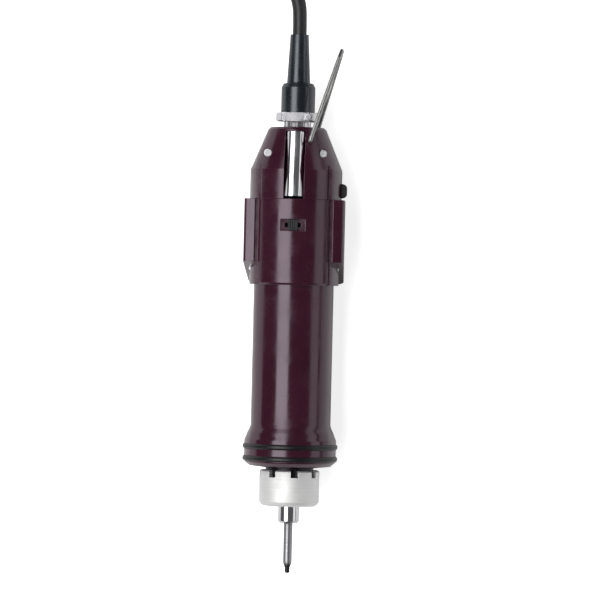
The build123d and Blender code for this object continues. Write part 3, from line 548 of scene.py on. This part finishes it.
def woven_strap(name, colour, thread=0.0009):
    """Hook-and-loop strap, woven from thick dull thread, with painted highlights on raised thread and
    painted shade in the gaps.
    """
    material, tree, surface = start_material(name, Sheen_Weight=0.35, Sheen_Roughness=0.5)
    place = object_place(tree)
    turn = put(tree, "ShaderNodeMapping", Rotation=(0.0, 0.0, math.radians(45)))
    tree.links.new(place, turn.inputs["Vector"])
    scale = 0.16 / thread  # about two threads to a wave
    threads = []
    for direction in ("X", "Y"):
        wave = put(
            tree, "ShaderNodeTexWave", bands_direction=direction, Scale=scale, Distortion=0.6
        )
        tree.links.new(turn.outputs["Vector"], wave.inputs["Vector"])
        threads.append(wave.outputs["Fac"])
    crossing = calculate(tree, "MAXIMUM", threads[0], threads[1])
    fuzz = noise(tree, place, 5200.0, 3.0, 0.7)
    height = calculate(tree, "ADD", crossing, calculate(tree, "MULTIPLY", fuzz, 0.6))
    # Painted light and shade: raised thread and fuzz are paler, the low gaps of the weave darker
    pale = tuple(min(1.0, 2.4 * part + 0.02) for part in colour)
    woven = blend_colours(tree, stretch(tree, height, 0.5, 1.5), colour, pale)
    tree.links.new(woven, surface["Base Color"])
    tree.links.new(stretch(tree, fuzz, 0.3, 0.7, 0.75, 0.95), surface["Roughness"])
    tree.links.new(relief(tree, height, 0.0002), surface["Normal"])
    return material


def board_lacquer(name):
    """Green lacquer over faint copper tracks."""
    material, tree, surface = start_material(name, Coat_Weight=0.4, Coat_Roughness=0.2)
    place = object_place(tree)
    tracks = put(tree, "ShaderNodeTexBrick", Scale=420.0, Mortar_Size=0.06, Brick_Width=1.3)
    tree.links.new(place, tracks.inputs["Vector"])
    mottled = noise(tree, place, 900.0, 3.0, 0.6)
    deep_green = (0.010, 0.070, 0.030)
    mid_green = (0.016, 0.100, 0.045)
    over_copper = (0.05, 0.19, 0.08)
    green = blend_colours(tree, stretch(tree, mottled, 0.3, 0.7), deep_green, mid_green)
    shown = blend_colours(tree, tracks.outputs["Fac"], green, over_copper)
    tree.links.new(shown, surface["Base Color"])
    tree.links.new(stretch(tree, mottled, 0.3, 0.7, 0.30, 0.42), surface["Roughness"])
    tree.links.new(relief(tree, tracks.outputs["Fac"], 0.00003), surface["Normal"])
    return material


def wound_copper(name):
    """Lacquered copper wire, laid close along the windings, with painted shade darkening the grooves
    between wires.
    """
    material, tree, surface = start_material(name, Metallic=0.85, Coat_Weight=0.5, Coat_Roughness=0.15)
    place = object_place(tree)
    wires = put(tree, "ShaderNodeTexWave", bands_direction="DIAGONAL", Scale=420.0, Distortion=1.5)
    tree.links.new(place, wires.inputs["Vector"])
    crossed = stretch(tree, wires.outputs["Fac"], 0.1, 0.9)
    # Painted shade: the copper is darker in the grooves between the wires
    shade_between_wires = (0.20, 0.06, 0.02)
    on_wires = (0.66, 0.27, 0.12)
    shaded = blend_colours(tree, crossed, shade_between_wires, on_wires)
    tree.links.new(shaded, surface["Base Color"])
    lacquer = stretch(tree, noise(tree, place, 700.0), 0.3, 0.7, 0.25, 0.40)
    tree.links.new(lacquer, surface["Roughness"])
    tree.links.new(relief(tree, wires.outputs["Fac"], 0.0001), surface["Normal"])
    return material


def pressed_powder(name, colour, roughness):
    """Ferrite or carbon, pressed from powder and left dull."""
    material, tree, surface = start_material(name, Specular_IOR_Level=0.35)
    place = object_place(tree)
    edges = use(tree, SOFT_EDGE, Radius=0.0002, Unevenness=0.9)
    grains = noise(tree, place, 6000.0, 4.0, 0.7)
    pale = tuple(min(1.0, 1.7 * part + 0.01) for part in colour)
    speckled = blend_colours(tree, stretch(tree, grains, 0.35, 0.7), colour, pale)
    chipped = blend_colours(tree, edges["Wear"], speckled, pale)
    tree.links.new(chipped, surface["Base Color"])
    rough = stretch(tree, grains, 0.3, 0.7, roughness - 0.08, roughness + 0.08)
    tree.links.new(rough, surface["Roughness"])
    tree.links.new(relief(tree, grains, 0.00001, edges["Normal"]), surface["Normal"])
    return material


# Finishes of this tool
FINISHES = [
    plastic(
        "maroon housing",
        colour=(0.035, 0.0032, 0.0128),
        worn=(0.15, 0.070, 0.10),
        roughness=0.20,
        depth=0.000003,
        edge=0.00045,
        dust=0.12,
        gloss=0.66,
        tint=(1.0, 0.90, 1.0),
        fall=EAR_FALL_START,
    ),
    plastic(
        "ring rubber",
        colour=(0.008, 0.0075, 0.0085),
        worn=(0.04, 0.04, 0.042),
        roughness=0.36,
        grain=2600.0,
        dust=0.3,
        gloss=0.35,
    ),
    plastic(
        "boot rubber",
        colour=(0.005, 0.009, 0.012),
        worn=(0.04, 0.045, 0.055),
        roughness=0.27,
        grain=2600.0,
        depth=0.000004,
        dust=0.2,
        gloss=0.85,
        tint=(0.88, 0.92, 1.0),
    ),
    plastic(
        "cord jacket",
        colour=(0.012, 0.012, 0.014),
        worn=(0.06, 0.06, 0.065),
        roughness=0.45,
        grain=3000.0,
        depth=0.000008,
    ),
    plastic(
        "black nylon",
        colour=(0.008, 0.008, 0.009),
        worn=(0.035, 0.035, 0.035),
        roughness=0.42,
        depth=0.000005,
        edge=0.0002,
        gloss=0.35,
    ),
    plated_metal("plated steel", (0.66, 0.65, 0.67), 0.13),
    plated_metal("screw plating", (0.55, 0.54, 0.55), 0.22, edge=0.0004),
    plated_metal("lever plating", (0.74, 0.72, 0.74), 0.08, crown=LEVER_CROWN),
    plated_metal("bail wire", (0.36, 0.36, 0.35), 0.24, edge=0.0001),
    turned_metal(
        "satin nickel", (0.82, 0.82, 0.81), 0.66, lines=12000.0, edge=0.0003, tarnish=0.05
    ),
    turned_metal("turned steel", (0.56, 0.56, 0.57), 0.28),
    turned_metal(
        "bit steel", (0.36, 0.36, 0.37), 0.42, lines=15000.0, black_tip=BLACK_TIP_STATION
    ),
    turned_metal("gear steel", (0.40, 0.40, 0.42), 0.36, lines=6000.0),
    turned_metal("spring steel", (0.33, 0.33, 0.36), 0.30, lines=20000.0),
    turned_metal("dark laminations", (0.16, 0.16, 0.18), 0.46, lines=2000.0, depth=0.00002),
    turned_metal("black anodising", (0.035, 0.035, 0.04), 0.34, lines=7000.0),
    turned_metal("light alloy", (0.68, 0.68, 0.69), 0.38, lines=7000.0),
    turned_metal("bearing bronze", (0.58, 0.40, 0.18), 0.34),
    turned_metal("commutator copper", (0.72, 0.36, 0.19), 0.30),
    wound_copper("wound copper"),
    pressed_powder("ferrite", (0.045, 0.045, 0.05), 0.68),
    pressed_powder("brush carbon", (0.018, 0.018, 0.018), 0.60),
    board_lacquer("board lacquer"),
    woven_strap("woven strap", (0.012, 0.012, 0.014)),
]
FINISH_NAMED = {material.name: material for material in FINISHES}
WORN_BY = {
    "maroon housing": ["body_front", "body_back", "dome_front", "dome_back"],
    "ring rubber": ["rubber_rings"],
    "boot rubber": ["cord_boot", "plug_boot"],
    "black nylon": [
        "direction_slide", "speed_knob", "direction_switch", "speed_switch", "start_switch",
        "switch_plunger", "motor_cap", "plug_insert",
    ],
    "plated steel": ["clamp_flange", "clamp_screw", "chuck_sleeve", "cord_collet"],
    "lever plating": ["start_lever"],
    "bail wire": ["bail"],
    "satin nickel": ["torque_nut", "plug_shell"],
    "screw plating": ["screws"],
    "turned steel": [
        "spindle", "lever_pin", "thrust_spider", "thrust_washer", "thrust_ring", "chuck_balls",
        "clutch_disc", "clutch_balls", "armature_shaft", "motor_can",
    ],
    "gear steel": [
        "carrier_one", "carrier_two", "planet_one_1", "planet_one_2", "planet_one_3",
        "planet_two_1", "planet_two_2", "planet_two_3",
    ],
    "bit steel": ["driver_bit"],
    "spring steel": ["torque_spring", "brush_springs"],
    "dark laminations": ["armature_core"],
    "light alloy": ["ring_gear"],
    "black anodising": ["nose"],
    "bearing bronze": ["output_bearing", "motor_bearings", "brush_holders"],
    "commutator copper": ["commutator"],
    "wound copper": ["windings"],
    "ferrite": ["magnets"],
    "brush carbon": ["brushes"],
    "board lacquer": ["circuit_board"],
    "woven strap": ["cord_tie"],
}


def dress(obj, finish):
    obj.data.materials.clear()
    obj.data.materials.append(FINISH_NAMED[finish])


for finish, names in WORN_BY.items():
    for name in names:
        dress(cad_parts[name], finish)
dress(power_cord, "cord jacket")


SHARP_ANGLE = math.radians(30)


def smooth_round_faces():
    """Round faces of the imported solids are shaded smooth, and their real edges stay sharp."""
    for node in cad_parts.values():
        mesh = node.data
        mesh.shade_smooth()
        mesh.set_sharp_from_angle(angle=SHARP_ANGLE)


smooth_round_faces()


# Studio: a pale floor, two soft lamps and dim air
FLOOR_HALF = 4.0
FLOOR_DROP = 0.0002  # keeps the floor just clear of what rests on it
FLOOR_GLOW = 0.75
MIRRORED_GLOW = 0.1  # share of the floor's glow that shiny pieces mirror
LAMPS_AIM = Vector((0.0, 0.0, 0.0))
AIR_COLOUR = (0.94, 0.96, 1.0, 1.0)
AIR_STRENGTH = 0.12


def make_floor():
    mesh = bpy.data.meshes.new("studio floor")
    signs = ((-1, -1), (1, -1), (1, 1), (-1, 1))
    corners = [(x * FLOOR_HALF, y * FLOOR_HALF, 0.0) for x, y in signs]
    mesh.from_pydata(corners, [], [(0, 1, 2, 3)])
    floor = bpy.data.objects.new("studio floor", mesh)
    bpy.context.scene.collection.objects.link(floor)
    floor.location.z = -FLOOR_DROP
    material = bpy.data.materials.new("pale floor")
    material.use_nodes = True
    tree = material.node_tree
    shader = tree.nodes["Principled BSDF"]
    shader.inputs["Roughness"].default_value = 0.9
    shader.inputs["Specular IOR Level"].default_value = 0.1
    mottled = noise(tree, object_place(tree), 3.0, 3.0, 0.5)
    dim_white = (0.80, 0.80, 0.80)
    white = (0.82, 0.82, 0.82)
    pale = blend_colours(tree, stretch(tree, mottled, 0.3, 0.7), dim_white, white)
    tree.links.new(pale, shader.inputs["Base Color"])
    rays = tree.nodes.new("ShaderNodeLightPath").outputs
    mirrored = calculate(tree, "MULTIPLY", rays["Is Glossy Ray"], MIRRORED_GLOW)
    seen = calculate(tree, "MAXIMUM", rays["Is Camera Ray"], mirrored)
    seen = calculate(tree, "MAXIMUM", seen, rays["Is Transmission Ray"])
    glow = put(tree, "ShaderNodeEmission", Color=(1.0, 1.0, 1.0, 1.0))
    tree.links.new(calculate(tree, "MULTIPLY", seen, FLOOR_GLOW), glow.inputs["Strength"])
    both = tree.nodes.new("ShaderNodeAddShader")
    tree.links.new(shader.outputs[0], both.inputs[0])
    tree.links.new(glow.outputs[0], both.inputs[1])
    tree.links.new(both.outputs[0], tree.nodes["Material Output"].inputs["Surface"])
    mesh.materials.append(material)


def soft_light(name, place, across, along, power):
    """A rectangular lamp aimed at the tool, with its long side along it."""
    data = bpy.data.lights.new(name, "AREA")
    data.shape = "RECTANGLE"
    data.size = along
    data.size_y = across
    data.energy = power
    lamp = bpy.data.objects.new(name, data)
    bpy.context.scene.collection.objects.link(lamp)
    lamp.location = place
    lamp.rotation_euler = (LAMPS_AIM - Vector(place)).to_track_quat("-Z", "Y").to_euler()


def light_studio():
    soft_light("long softbox", (-0.49, 0.0, 1.10), across=0.72, along=2.6, power=23.0)
    soft_light("side panel", (1.20, 0.1, 0.45), across=0.6, along=2.2, power=4.0)
    world = bpy.data.worlds.new("studio air")
    world.use_nodes = True
    air = world.node_tree.nodes["Background"].inputs
    air["Color"].default_value = AIR_COLOUR
    air["Strength"].default_value = AIR_STRENGTH
    bpy.context.scene.world = world


make_floor()
light_studio()
bpy.context.scene.view_settings.view_transform = "Standard"

bpy.context.view_layer.update()
